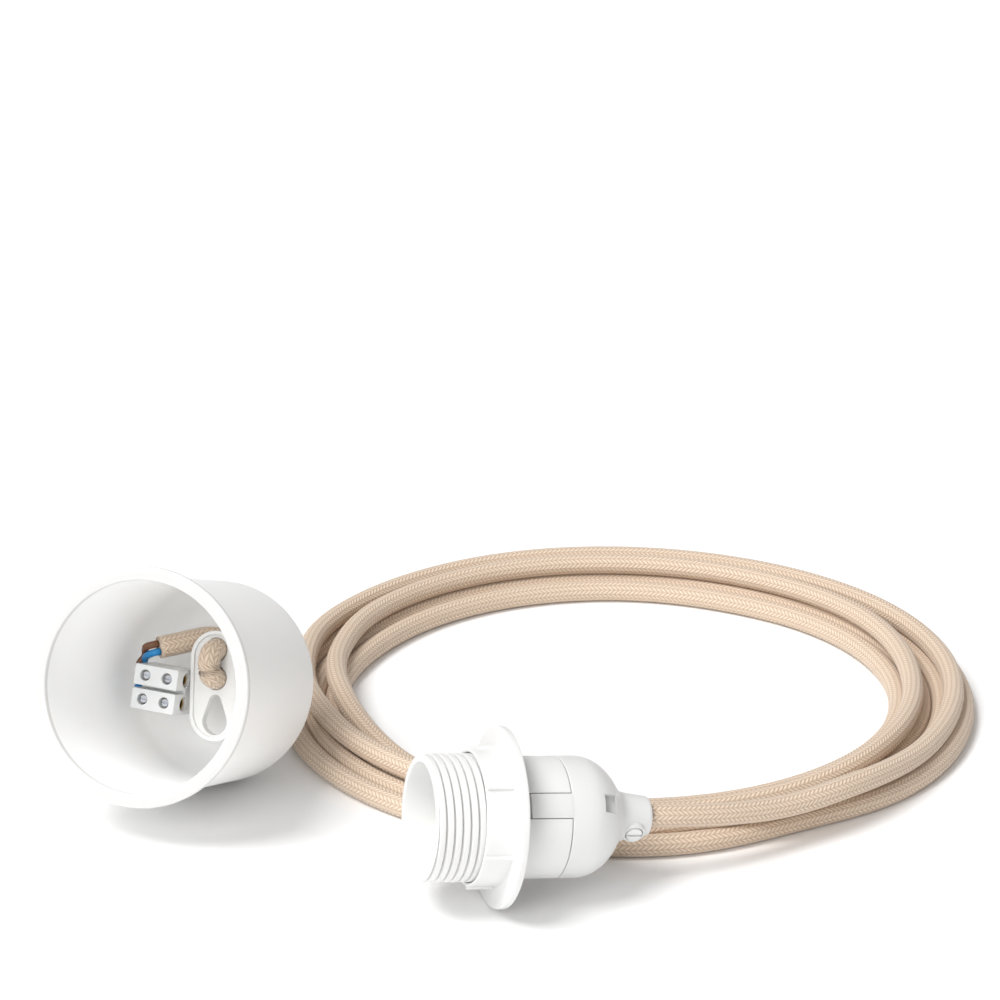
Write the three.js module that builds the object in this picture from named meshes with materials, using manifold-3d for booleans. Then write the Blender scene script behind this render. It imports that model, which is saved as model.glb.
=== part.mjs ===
// A pendant lamp cord set: a ceiling cup, a braided cord in a loose coil, and a lampholder
// with a threaded skirt and a shade ring. Millimetres, +Z up, standing on z = 0.
import * as THREE from 'three';
import { mergeVertices } from 'three/addons/utils/BufferGeometryUtils.js';
import Module from 'manifold-3d';

const wasm = await Module();
wasm.setup();

// Gap kept between pieces that touch
const clearance = 0.3;

// Braided cord and its two insulated cores
const cordDiameter = 7.4;
const coreDiameter = 2.4;

// Ceiling cup, lying on the edge of its base with the mouth towards the viewer
const cupDepth = 70.4;
const cupMouthRadius = 35.6;
const cupBaseRadius = 33.5;
const cupWall = 1.3;
const cupBaseThickness = 1.8;
const cupEdgeRound = 14;
const cupLipReach = 3.2;
const cupLipThickness = 1.8;
const cupTilt = 19.75;
const cupYaw = 24.1;
const cupBasePlace = [-36.71, 62.2];

// Cord grip of the cup and of the lampholder: a short neck with a nylon screw in its side
const neckLength = 9;
const neckRadius = 7.4;
const gripBossRadius = 3.6;
const gripBossReach = 8;
const gripScrewRadius = 1.6;
const gripHeadRadius = 2.6;
const gripHeadThickness = 1.6;

// Strain relief plate with its hook eye, and the terminal block beside it
const plateWidth = 18;
const plateLength = 36.5;
const plateThickness = 3;
const plateHeight = 20;
const plateTurn = 6.8;
const platePlace = [3, -0.8];
const cordHolePitch = 9.4;
const cordHoleMiddle = 7.3;
const hookEyeWidth = 9;
const hookEyeLength = 13.4;
const hookEyeMiddle = -9.6;
const blockWidth = 16;
const blockDepth = 13;
const polePitch = 8;
const blockPlace = [-15.2, -4.6, 23];
const tubeRadius = 2.1;
const tubeWall = 0.6;
const terminalScrewRadius = 1.3;
const terminalScrewPitch = 8;

// Lampholder, measured along its axis from the seat of the shade ring, + towards the mouth
const mouthHeight = 26.9;
const skirtRootRadius = 18.7;
const skirtWall = 1.4;
const threadDepth = 1.25;
const threadPitch = 2.6;
const sleeveLength = 16.8;
const sleeveRadius = 19.1;
const latchWidth = 7.7;
const latchTurn = 34.8;
const latchGap = 1.3;
const domeWall = 1.6;
const domeOutline = [
  [9.6, -36.5],
  [11.4, -35.3],
  [13.3, -33.9],
  [15.1, -32.2],
  [16.6, -30.4],
  [17.8, -28.4],
  [18.7, -26],
];
const domeStraightEnd = -23.5;
const neckEnd = -47.8;
const windowSize = [9, 5.8, 4.4];
const windowPlace = [15, 0, -30.8];
const windowTurn = 41;
const holderNeckTip = 6.4;
const insertBore = 13.6;
const insertWall = 1.9;
const insertLength = 27;
const clampSize = [6, 7, 6.5];
const clampPlace = 6.8;
const holderTilt = 7.1;
const holderYaw = 73.6;
const holderPlace = [52.3, -46.24];
const holderGripTurn = -22;

// Shade ring
const ringFlangeRadius = 28.5;
const ringFlangeThickness = 2.4;
const ringHubRadius = 21.3;
const ringHubLength = 9;
const ringRibs = 6;
const ringRibReach = 1;
const ringRibWidth = 1.1;
const ringRibTurn = 49;
const threadClearance = 0.35;

// Coil of the free cord: the heap that its turns lie in
const coilPlace = [93.16, 104.76];
const coilInnerRadius = 89.8;
const coilOuterRadius = 125.6;
const coilHeight = 20.2;

const radians = THREE.MathUtils.degToRad;
const cordRadius = cordDiameter / 2;
const coreRadius = coreDiameter / 2;
const cordBore = cordRadius + clearance;

// Solids

function solid(geometry) {
  const bare = geometry.index ? geometry.toNonIndexed() : geometry.clone();
  for (const name of Object.keys(bare.attributes)) {
    if (name !== 'position') bare.deleteAttribute(name);
  }
  const welded = mergeVertices(bare, 1e-4);
  const corners = welded.index.array;
  const triVerts = [];
  for (let i = 0; i < corners.length; i += 3) {
    const [a, b, c] = [corners[i], corners[i + 1], corners[i + 2]];
    if (a !== b && b !== c && c !== a) triVerts.push(a, b, c);
  }
  return new wasm.Manifold(new wasm.Mesh({
    numProp: 3,
    vertProperties: welded.attributes.position.array,
    triVerts: new Uint32Array(triVerts),
  }));
}

function geometryOf(manifold) {
  const mesh = manifold.getMesh();
  const geometry = new THREE.BufferGeometry();
  geometry.setAttribute('position', new THREE.BufferAttribute(mesh.vertProperties, 3));
  geometry.setIndex(new THREE.BufferAttribute(mesh.triVerts, 1));
  return geometry;
}

// A turned solid about Z. A closed profile runs up its outer side and down its inner side.
function turned(profile, segments = 40) {
  const points = profile.map(([radius, height]) => new THREE.Vector2(radius, height));
  const geometry = new THREE.LatheGeometry(points, segments);
  geometry.rotateX(Math.PI / 2);
  return geometry;
}

function turnedRing(profile, segments = 40) {
  return turned([...profile, profile[0]], segments);
}

function rod(radius, low, high, segments = 24) {
  return turned([[0, low], [radius, low], [radius, high], [0, high]], segments);
}

function box([width, depth, height], [x, y, z]) {
  return new THREE.BoxGeometry(width, depth, height).translate(x, y, z);
}

// A shape in the XY plane, extruded up Z between two heights
function extruded(shape, low, high, curveSegments = 12) {
  const options = { depth: high - low, bevelEnabled: false, curveSegments };
  return new THREE.ExtrudeGeometry(shape, options).translate(0, 0, low);
}

function circlePoints(radius, sides) {
  const points = [];
  for (let i = 0; i < sides; i += 1) {
    const angle = (2 * Math.PI * i) / sides;
    points.push(new THREE.Vector2(radius * Math.cos(angle), radius * Math.sin(angle)));
  }
  return points;
}

// A round cord along a smooth curve through the points
function swept(points, radius, sides, steps) {
  const curve = new THREE.CatmullRomCurve3(points, false, 'centripetal');
  const section = new THREE.Shape(circlePoints(radius, sides));
  return new THREE.ExtrudeGeometry(section, { steps, extrudePath: curve, bevelEnabled: false });
}

// Points of an arc in a profile, from one angle to another, in degrees from the radius
function arc([centreRadius, centreHeight], radius, from, to, steps, stretch = 1) {
  const points = [];
  for (let i = 0; i <= steps; i += 1) {
    const angle = radians(from + ((to - from) * i) / steps);
    const reach = centreRadius + radius * Math.cos(angle);
    points.push([reach, centreHeight + radius * stretch * Math.sin(angle)]);
  }
  return points;
}

// A trapezoid ridge that climbs round Z, fading in and out over a sixth of a turn
function helicalRidge({ radius, depth, pitch, low, high, segments }) {
  const steps = Math.round(((high - low) / pitch) * segments);
  const fade = segments / 6;
  const corners = [];
  for (let i = 0; i <= steps; i += 1) {
    const angle = (2 * Math.PI * i) / segments;
    const height = low + (pitch * i) / segments;
    const rise = depth * Math.max(0.05, Math.min(1, i / fade, (steps - i) / fade));
    const section = [
      [radius - 0.4, -0.42 * pitch],
      [radius + rise, -0.16 * pitch],
      [radius + rise, 0.16 * pitch],
      [radius - 0.4, 0.42 * pitch],
    ];
    for (const [reach, offset] of section) {
      corners.push(reach * Math.cos(angle), reach * Math.sin(angle), height + offset);
    }
  }
  const index = [];
  for (let i = 0; i < steps; i += 1) {
    for (let j = 0; j < 4; j += 1) {
      const here = 4 * i + j;
      const beside = 4 * i + ((j + 1) % 4);
      index.push(here, here + 4, beside, beside, here + 4, beside + 4);
    }
  }
  const end = 4 * steps;
  index.push(0, 1, 2, 0, 2, 3);
  index.push(end, end + 2, end + 1, end, end + 3, end + 2);
  const geometry = new THREE.BufferGeometry();
  geometry.setAttribute('position', new THREE.Float32BufferAttribute(corners, 3));
  geometry.setIndex(index);
  return geometry;
}

// How high the origin of a turned piece stands when its lowest edge rests on the floor
function restHeight(profile, tilt) {
  const angle = radians(tilt);
  const drops = profile.map(([radius, height]) => radius * Math.cos(angle) - height * Math.sin(angle));
  return Math.max(...drops);
}

// Turns a group so that its +Z looks out of the mouth: yaw runs from -Y towards -X, tilt lifts it
function aimMouth(group, yaw, tilt) {
  const turn = radians(yaw);
  const lift = radians(tilt);
  const outward = new THREE.Vector3(
    -Math.sin(turn) * Math.cos(lift),
    -Math.cos(turn) * Math.cos(lift),
    Math.sin(lift),
  );
  const across = new THREE.Vector3(0, 0, 1).cross(outward).normalize();
  const upward = outward.clone().cross(across);
  group.quaternion.setFromRotationMatrix(new THREE.Matrix4().makeBasis(across, upward, outward));
}

// Materials

function material(colour, roughness, metalness = 0, opacity = 1) {
  return new THREE.MeshStandardMaterial({
    color: colour,
    roughness,
    metalness,
    opacity,
    transparent: opacity < 1,
  });
}

const whitePlastic = () => material('#f1f0ee', 0.45);
const nylon = () => material('#f4f3ef', 0.35);
const clearPlastic = () => material('#e9edf2', 0.2, 0, 0.45);
const brass = () => material('#c7a25a', 0.3, 1);
const steel = () => material('#b9bcc4', 0.3, 1);
const beigeBraid = () => material('#d9b994', 0.85);
const blueSleeve = () => material('#1c86c6', 0.45);
const brownSleeve = () => material('#6a4023', 0.5);

function piece(name, geometry, finish) {
  const mesh = new THREE.Mesh(geometry, finish);
  mesh.name = name;
  return mesh;
}

// Cord grip, shared by the cup and the lampholder

// Boss on a neck about Z, at a height and at a turn round the axis, with a stepped hole
function withGripBoss(body, height, turn) {
  const place = (geometry) => {
    const laid = geometry.clone();
    laid.rotateY(Math.PI / 2).translate(0, 0, height).rotateZ(radians(turn));
    return solid(laid);
  };
  const boss = place(rod(gripBossRadius, cordBore, gripBossReach));
  const hole = place(rod(gripScrewRadius + clearance, 0, gripBossReach + 1));
  const recessFloor = gripBossReach - gripHeadThickness + 0.4;
  const recess = place(rod(gripHeadRadius + clearance, recessFloor, gripBossReach + 1));
  const bore = solid(rod(cordBore, height - 2 * gripBossRadius, height + 2 * gripBossRadius));
  return body.add(boss).subtract(bore).subtract(hole).subtract(recess);
}

// The screw's tip stops just short of the cord, and its head has a slot for a blade
function gripScrew(height, turn) {
  const headFloor = gripBossReach - gripHeadThickness + 0.4 + clearance;
  const headTop = headFloor + gripHeadThickness;
  const profile = [
    [0, cordBore],
    [gripScrewRadius - 0.5, cordBore],
    [gripScrewRadius, cordBore + 0.5],
    [gripScrewRadius, headFloor],
    [gripHeadRadius, headFloor],
    [gripHeadRadius, headTop - 0.4],
    [gripHeadRadius - 0.4, headTop],
    [0, headTop],
  ];
  const slot = box([2 * gripHeadRadius + 1, 0.8, 1.4], [0, 0, headTop]);
  const screw = geometryOf(solid(turned(profile, 24)).subtract(solid(slot)));
  return screw.rotateY(Math.PI / 2).translate(0, 0, height).rotateZ(radians(turn));
}

// Ceiling cup

const cupInnerMouth = cupMouthRadius - cupWall;
const cupInnerBase = cupBaseRadius - cupWall;
const cupInnerRound = cupEdgeRound - cupWall;
const cupRimRadius = cupMouthRadius + cupLipReach;
const cupGripHeight = -neckLength / 2 - 0.2;

function cupProfile() {
  const lipFloor = cupDepth - cupLipThickness;
  return [
    [cordBore, -neckLength],
    [neckRadius - 0.8, -neckLength],
    [neckRadius, -neckLength + 0.8],
    [neckRadius, 0],
    ...arc([cupBaseRadius - cupEdgeRound, cupEdgeRound], cupEdgeRound, -90, 0, 7),
    [cupMouthRadius, lipFloor],
    [cupRimRadius - 0.3, lipFloor],
    [cupRimRadius, lipFloor + 0.3],
    [cupRimRadius, cupDepth - 0.4],
    [cupRimRadius - 0.4, cupDepth],
    [cupInnerMouth + 0.4, cupDepth],
    [cupInnerMouth, cupDepth - 0.4],
    ...arc([cupInnerBase - cupInnerRound, cupBaseThickness + cupInnerRound], cupInnerRound, 0, -90, 5),
    [cordBore, cupBaseThickness],
  ];
}

function makeCup() {
  const body = solid(turnedRing(cupProfile(), 52));
  return geometryOf(withGripBoss(body, cupGripHeight, 0));
}

// Strain relief plate: its two cord holes sit over the hook eye

function hookEyeShape() {
  const wide = hookEyeWidth / 2;
  const narrow = hookEyeWidth / 4;
  const low = hookEyeMiddle - hookEyeLength / 2 + wide;
  const high = hookEyeMiddle + hookEyeLength / 2 - narrow;
  const shape = new THREE.Shape();
  shape.absarc(0, low, wide, radians(165), radians(375), false);
  shape.absarc(0, high, narrow, radians(15), radians(165), false);
  shape.closePath();
  return shape;
}

function stadium(width, length) {
  const round = width / 2;
  const reach = length / 2 - round;
  const shape = new THREE.Shape();
  shape.absarc(0, reach, round, 0, Math.PI, false);
  shape.absarc(0, -reach, round, Math.PI, 2 * Math.PI, false);
  shape.closePath();
  return shape;
}

const lowHole = cordHoleMiddle - cordHolePitch / 2;
const highHole = cordHoleMiddle + cordHolePitch / 2;

function makePlate() {
  const half = plateThickness / 2;
  const through = plateThickness;
  const lip = 1.2;
  const lipHeight = half + 0.8;
  const edge = solid(extruded(stadium(plateWidth, plateLength), -half, lipHeight, 10));
  const well = solid(extruded(stadium(plateWidth - 2 * lip, plateLength - 2 * lip), half, lipHeight + 1, 10));
  const eye = solid(extruded(hookEyeShape(), -through, through, 10));
  let plate = edge.subtract(well).subtract(eye);
  for (const y of [lowHole, highHole]) {
    const hole = rod(cordBore, -through, through).translate(0, y, 0);
    plate = plate.subtract(solid(hole));
  }
  return geometryOf(plate);
}

// A point of the cup, from a place on the turned strain relief plate
function atPlate(x, y, z) {
  const turn = radians(plateTurn);
  return new THREE.Vector3(
    platePlace[0] + x * Math.cos(turn) - y * Math.sin(turn),
    platePlace[1] + x * Math.sin(turn) + y * Math.cos(turn),
    z,
  );
}

// The cord's end inside the cup: in through the neck, over the plate's web and out to the left
function makeCupCordEnd() {
  const front = plateHeight + plateThickness / 2 + 0.8;
  const loop = cordHolePitch / 2;
  const points = [
    new THREE.Vector3(0, 0, -neckLength + clearance),
    new THREE.Vector3(0, 0, -3),
    new THREE.Vector3(0.2, 0.1, 4),
    atPlate(-1, lowHole * 0.6, plateHeight - 9),
    atPlate(0, lowHole, plateHeight - 3),
    atPlate(0, lowHole, front),
  ];
  for (const angle of [45, 90, 135]) {
    const y = cordHoleMiddle - loop * Math.cos(radians(angle));
    points.push(atPlate(0, y, front + loop * Math.sin(radians(angle))));
  }
  points.push(
    atPlate(0, highHole, front),
    atPlate(0, highHole, plateHeight - 2.5),
    new THREE.Vector3(0.6, 12.2, plateHeight - 7.2),
    new THREE.Vector3(-2.6, 13.6, plateHeight - 9.4),
    new THREE.Vector3(-6.6, 13.6, plateHeight - 8),
    new THREE.Vector3(-10.8, 12, plateHeight - 4),
    new THREE.Vector3(-14.2, 10.4, plateHeight + 0.4),
    cupCordTip,
  );
  return swept(points, cordRadius, 10, 48);
}

const cupCordTip = new THREE.Vector3(-17.8, 8.8, plateHeight + 4.6);

// Terminal block: two through holes across it, and two screw wells over each
const poleOffsets = [polePitch / 2, -polePitch / 2];
const screwOffsets = [-terminalScrewPitch / 2, terminalScrewPitch / 2];

function makeBlock() {
  const tower = polePitch - 1.2;
  const half = blockDepth / 2;
  const lowHalf = 0.6 * half;
  let block = solid(box([blockWidth, polePitch, half + lowHalf - 4], [0, 0, -(half - lowHalf + 4) / 2]));
  for (const y of poleOffsets) {
    block = block.add(solid(box([blockWidth, tower, 2 * half], [0, y, 0])));
    const bore = rod(tubeRadius + clearance, -blockWidth, blockWidth);
    block = block.subtract(solid(bore.rotateY(Math.PI / 2).translate(0, y, 0)));
    for (const x of screwOffsets) {
      const well = rod(terminalScrewRadius + 2 * clearance, 0, blockDepth, 16);
      block = block.subtract(solid(well.translate(x, y, 0)));
    }
  }
  return geometryOf(block);
}

function makeTerminalTube() {
  const length = blockWidth - 2;
  const profile = [
    [tubeRadius - tubeWall, -length / 2],
    [tubeRadius, -length / 2],
    [tubeRadius, length / 2],
    [tubeRadius - tubeWall, length / 2],
  ];
  return turnedRing(profile, 20).rotateY(Math.PI / 2);
}

function makeTerminalScrew() {
  const low = tubeRadius + clearance;
  const high = blockDepth / 2 - 1;
  const slot = box([2 * terminalScrewRadius + 1, 0.5, 1.2], [0, 0, high]);
  return geometryOf(solid(rod(terminalScrewRadius, low, high, 12)).subtract(solid(slot)));
}

// Insulated cores of the cup's end, from the cord's cut end round into the block's left side
const cutEndAim = new THREE.Vector3(-0.63, -0.28, 0.73);
const cutEndAcross = new THREE.Vector3(-0.41, 0.91, 0);
const brownRoute = [[-21.6, 8.6, 26.2], [-23.6, 7.4, 23.4], [-24.4, 4.6, 21.6], [-25.8, 2, 22]];
const blueRoute = [[-21.4, 5.4, 27.6], [-24.6, 3.6, 27.6], [-27.4, 0.6, 26.4], [-28, -3.4, 25], [-26.8, -6.8, 24.2]];

function makeCupCore(side, y, middle) {
  const [blockX, blockY, blockZ] = blockPlace;
  const entry = blockX - blockWidth / 2;
  const start = cupCordTip.clone().addScaledVector(cutEndAim, clearance);
  start.addScaledVector(cutEndAcross, side * (coreRadius + clearance / 2));
  const points = [
    start,
    start.clone().addScaledVector(cutEndAim, 1.5),
    ...middle.map(([px, py, pz]) => new THREE.Vector3(px, py, pz)),
    new THREE.Vector3(entry - 1, blockY + y, blockZ),
    new THREE.Vector3(entry + 3, blockY + y, blockZ),
  ];
  return swept(points, coreRadius, 8, 20);
}

function cupAssembly() {
  const group = new THREE.Group();
  group.add(piece('ceiling_cup', makeCup(), whitePlastic()));
  group.add(piece('cup_grip_screw', gripScrew(cupGripHeight, 0), nylon()));
  const plate = piece('hook_plate', makePlate(), whitePlastic());
  plate.position.set(platePlace[0], platePlace[1], plateHeight);
  plate.rotation.z = radians(plateTurn);
  group.add(plate);
  group.add(piece('cup_cord_end', makeCupCordEnd(), beigeBraid()));
  const block = new THREE.Group();
  block.position.set(...blockPlace);
  block.add(piece('terminal_block', makeBlock(), clearPlastic()));
  poleOffsets.forEach((y, pole) => {
    const tube = piece(`terminal_tube_${pole + 1}`, makeTerminalTube(), brass());
    tube.position.y = y;
    block.add(tube);
    screwOffsets.forEach((x, end) => {
      const screw = piece(`terminal_screw_${2 * pole + end + 1}`, makeTerminalScrew(), steel());
      screw.position.set(x, y, 0);
      block.add(screw);
    });
  });
  group.add(block);
  group.add(piece('cup_core_brown', makeCupCore(1, poleOffsets[0], brownRoute), brownSleeve()));
  group.add(piece('cup_core_blue', makeCupCore(-1, poleOffsets[1], blueRoute), blueSleeve()));
  aimMouth(group, cupYaw, cupTilt);
  group.position.set(cupBasePlace[0], cupBasePlace[1], restHeight(cupProfile(), cupTilt));
  return group;
}

// Lampholder

const skirtBore = skirtRootRadius - skirtWall;
const threadCrest = skirtRootRadius + threadDepth;
const rimRadius = threadCrest - 0.3;
const insertRadius = insertBore + insertWall;
const spigotRadius = skirtBore - clearance;
const ledgeTop = 2.4;
const ledgeFloor = 0.2;
const insertFlangeTop = ledgeFloor - clearance;
const insertFlangeFloor = insertFlangeTop - 2.9;
const spigotTop = insertFlangeFloor - clearance;
const insertTop = insertFlangeTop + 15;
const insertFloor = insertTop - insertLength;
const domeTop = -sleeveLength - clearance;
const domeFloor = domeOutline[0][1];
const holderGripHeight = neckEnd + 6.3;
const latchTop = spigotTop - 0.4;

// The part of a ring between two radii and heights that faces one way, as wide as given
function facingPad(inner, outer, low, high, width, turn) {
  const ring = solid(turnedRing([[inner, low], [outer, low], [outer, high], [inner, high]]));
  const slab = box([outer, width, high - low + 2], [outer / 2 + 2, 0, (low + high) / 2]);
  return ring.intersect(solid(slab.rotateZ(radians(turn))));
}

// Threaded skirt and its plain sleeve, with a ledge inside and two slots for the dome's latches
function makeSkirt() {
  const body = solid(turnedRing([
    [skirtBore, -sleeveLength],
    [sleeveRadius, -sleeveLength],
    [sleeveRadius, -0.4],
    [skirtRootRadius, 0],
    [skirtRootRadius, mouthHeight - 2],
    [rimRadius, mouthHeight - 1.5],
    [rimRadius, mouthHeight - 0.5],
    [rimRadius - 0.5, mouthHeight],
    [skirtBore + 0.3, mouthHeight],
    [skirtBore, mouthHeight - 0.3],
    [skirtBore, ledgeTop],
    [insertRadius + clearance, ledgeTop],
    [insertRadius + clearance, ledgeFloor],
    [skirtBore, ledgeFloor],
  ]));
  const thread = solid(helicalRidge({
    radius: skirtRootRadius,
    depth: threadDepth,
    pitch: threadPitch,
    low: 1.5,
    high: mouthHeight - 2.2,
    segments: 40,
  }));
  let skirt = body.add(thread);
  for (const turn of [latchTurn, latchTurn + 180]) {
    const slotTop = latchTop + latchGap;
    const low = -sleeveLength - 1;
    const slot = facingPad(skirtBore - 1, sleeveRadius + 1, low, slotTop, latchWidth + 2 * clearance, turn);
    skirt = skirt.subtract(slot);
  }
  return geometryOf(skirt);
}

function makeShadeRing() {
  const bore = threadCrest + threadClearance;
  const top = ringFlangeThickness + ringHubLength;
  let ring = solid(turnedRing([...ringProfile(), [bore + 0.4, top], [bore, top - 0.4]], 52));
  for (let i = 0; i < ringRibs; i += 1) {
    const outer = ringHubRadius + ringRibReach;
    const turn = ringRibTurn + (360 * i) / ringRibs;
    const low = ringFlangeThickness - 0.4;
    ring = ring.add(facingPad(ringHubRadius - 0.5, outer, low, top - 0.3, ringRibWidth, turn));
  }
  return geometryOf(ring);
}

// The outer side of the shade ring, from its bore at the seat up to the hub's end
function ringProfile() {
  const bore = threadCrest + threadClearance;
  const top = ringFlangeThickness + ringHubLength;
  return [
    [bore, 0],
    [ringFlangeRadius - 0.4, 0],
    [ringFlangeRadius, 0.5],
    [ringFlangeRadius, ringFlangeThickness - 0.6],
    [ringFlangeRadius - 0.6, ringFlangeThickness],
    [ringHubRadius + 0.8, ringFlangeThickness],
    [ringHubRadius, ringFlangeThickness + 0.8],
    [ringHubRadius, top - 0.5],
    [ringHubRadius - 0.5, top],
  ];
}

// Dome cap: a spigot up inside the sleeve, two latch tongues, the round shoulder and the neck
function makeDome() {
  const spigotBore = spigotRadius - domeWall;
  const hollow = domeOutline.map(([radius, height]) => (
    [Math.min(spigotBore, radius - domeWall), height + domeWall]
  ));
  let dome = solid(turnedRing([
    [cordBore, neckEnd],
    [holderNeckTip - 1.1, neckEnd],
    [holderNeckTip - 0.3, neckEnd + 0.4],
    [holderNeckTip, neckEnd + 1.2],
    [neckRadius, domeFloor - 3.8],
    [neckRadius + 0.4, domeFloor - 2.2],
    [neckRadius + 1.1, domeFloor - 0.9],
    ...domeOutline,
    [sleeveRadius, domeStraightEnd],
    [sleeveRadius, domeTop],
    [spigotRadius, domeTop],
    [spigotRadius, spigotTop],
    [spigotBore, spigotTop],
    ...hollow.reverse(),
    [cordBore, domeFloor + domeWall],
  ]));
  for (const turn of [latchTurn, latchTurn + 180]) {
    const tongue = facingPad(spigotRadius - 0.8, sleeveRadius, domeTop - 1, latchTop, latchWidth, turn);
    const window = box(windowSize, windowPlace).rotateZ(radians(turn + windowTurn - latchTurn));
    dome = dome.add(tongue).subtract(solid(window));
  }
  return geometryOf(withGripBoss(dome, holderGripHeight, holderGripTurn));
}

// White insert that carries the contacts, clamped between the skirt's ledge and the dome's spigot
function makeInsert() {
  const floor = insertFloor + 3.8;
  return turned([
    [0, insertFloor],
    [insertRadius - 0.6, insertFloor],
    [insertRadius - 0.6, insertFlangeFloor],
    [spigotRadius, insertFlangeFloor],
    [spigotRadius, insertFlangeTop],
    [insertRadius, insertFlangeTop],
    [insertRadius, insertTop - 0.5],
    [insertRadius - 0.5, insertTop],
    [insertBore, insertTop],
    [insertBore, floor],
    [0, floor],
  ]);
}

// A sprung strip that rises to meet the lamp's centre contact
function makeCentreContact() {
  const floor = insertFloor + 3.8 + clearance;
  const shape = new THREE.Shape([
    new THREE.Vector2(-9, 0),
    new THREE.Vector2(3, 0),
    new THREE.Vector2(6.4, 1.6),
    new THREE.Vector2(0.6, 5.4),
    new THREE.Vector2(-2.4, 4.4),
    new THREE.Vector2(-2.2, 3.8),
    new THREE.Vector2(0.6, 4.7),
    new THREE.Vector2(5, 1.7),
    new THREE.Vector2(2.8, 0.6),
    new THREE.Vector2(-9, 0.6),
  ]);
  return extruded(shape, -2.5, 2.5).rotateX(Math.PI / 2).translate(0, 0, floor);
}

function makeSideContact() {
  const floor = insertFloor + 3.8 + clearance;
  const face = insertBore - clearance;
  const strip = solid(box([0.6, 4, 12], [face - 0.6, 0, floor + 6]));
  const foot = solid(box([2.4, 4, 0.6], [face - 1.5, 0, floor + 0.3]));
  return geometryOf(strip.add(foot));
}

// Brass clamp behind the insert: a blind hole for the core, and a screw in its outer side
function makeClamp(side) {
  const [width, depth, height] = clampSize;
  const top = insertFloor - clearance;
  const block = solid(box([width, depth, height], [side * clampPlace, 0, top - height / 2]));
  const wireHole = rod(coreRadius + clearance, top - height - 1, top - 1.6, 16);
  const screwHole = rod(1.4, 0, width, 16).rotateY((side * Math.PI) / 2);
  return geometryOf(block
    .subtract(solid(wireHole.translate(side * clampPlace, 0, 0)))
    .subtract(solid(screwHole.translate(side * clampPlace, 0, top - height / 2))));
}

function makeClampScrew(side) {
  const [width, , height] = clampSize;
  const profile = [
    [0, coreRadius + clearance],
    [1.1, coreRadius + clearance],
    [1.1, width / 2 + clearance],
    [1.9, width / 2 + clearance],
    [1.9, width / 2 + 1.4],
    [0, width / 2 + 1.4],
  ];
  const slot = solid(box([5, 0.6, 1.2], [0, 0, width / 2 + 1.4]));
  const screw = geometryOf(solid(turned(profile, 16)).subtract(slot));
  screw.rotateY((side * Math.PI) / 2);
  return screw.translate(side * clampPlace, 0, insertFloor - clearance - height / 2);
}

const holderCordTop = domeFloor + domeWall + 2.4;

function makeHolderCore(side) {
  const entry = insertFloor - clearance - clampSize[2];
  const start = 1.5 * side;
  const points = [
    new THREE.Vector3(start, 0, holderCordTop + clearance),
    new THREE.Vector3(start, 0, holderCordTop + 2),
    new THREE.Vector3(side * clampPlace * 0.7, 0, (holderCordTop + entry) / 2),
    new THREE.Vector3(side * clampPlace, 0, entry - 1.5),
    new THREE.Vector3(side * clampPlace, 0, entry + 3),
  ];
  return swept(points, coreRadius, 8, 16);
}

function holderAssembly() {
  const group = new THREE.Group();
  group.add(piece('threaded_skirt', makeSkirt(), whitePlastic()));
  group.add(piece('shade_ring', makeShadeRing(), whitePlastic()));
  group.add(piece('dome_cap', makeDome(), whitePlastic()));
  group.add(piece('holder_grip_screw', gripScrew(holderGripHeight, holderGripTurn), nylon()));
  group.add(piece('contact_insert', makeInsert(), whitePlastic()));
  group.add(piece('centre_contact', makeCentreContact(), brass()));
  group.add(piece('side_contact', makeSideContact(), brass()));
  group.add(piece('holder_cord_end', rod(cordRadius, neckEnd + clearance, holderCordTop), beigeBraid()));
  for (const [side, colour, sleeve] of [[1, 'brown', brownSleeve], [-1, 'blue', blueSleeve]]) {
    group.add(piece(`clamp_${colour}`, makeClamp(side), brass()));
    group.add(piece(`clamp_screw_${colour}`, makeClampScrew(side), steel()));
    group.add(piece(`holder_core_${colour}`, makeHolderCore(side), sleeve()));
  }
  aimMouth(group, holderYaw, holderTilt);
  group.position.set(holderPlace[0], holderPlace[1], restHeight(ringProfile(), holderTilt));
  return group;
}

// Free cord, 4 m long: a lead from the lampholder's neck, the coil, and a lead to the cup's neck

const holderLeadRoute = [
  [115.2, -26.7, 19.5],
  [123.7, -22.4, 18],
  [131.7, -17.5, 16.4],
  [139.2, -12.2, 14.8],
  [144.7, -8.4, 14.1],
];
const cupLeadRoute = [
  [-29.6, 79, 20.7],
  [-28.2, 83.8, 18.7],
  [-27.2, 89.3, 16.4],
];

// A lead leaves an assembly's neck along its axis, then follows points chosen by hand
function lead(assembly, neckTip, points) {
  assembly.updateMatrixWorld();
  const straight = [neckTip - clearance, neckTip - 4].map((height) => (
    new THREE.Vector3(0, 0, height).applyMatrix4(assembly.matrixWorld)
  ));
  const free = points.map(([x, y, z]) => new THREE.Vector3(x, y, z));
  return swept([...straight, ...free], cordRadius, 10, 2 * points.length + 2);
}

// The heap of turns as one ring, flat below and rounded over its three layers of cord
function makeCoil() {
  const width = coilOuterRadius - coilInnerRadius;
  return turnedRing([
    [coilInnerRadius + 2, 0],
    [coilOuterRadius - 2, 0],
    [coilOuterRadius, 3],
    [coilOuterRadius - 0.06 * width, 0.46 * coilHeight],
    [coilOuterRadius - 0.2 * width, 0.7 * coilHeight],
    [coilOuterRadius - 0.45 * width, 0.93 * coilHeight],
    [coilOuterRadius - 0.6 * width, coilHeight],
    [coilInnerRadius + 0.22 * width, coilHeight],
    [coilInnerRadius + 0.05 * width, 0.7 * coilHeight],
    [coilInnerRadius, 0.3 * coilHeight],
  ], 52);
}

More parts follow.
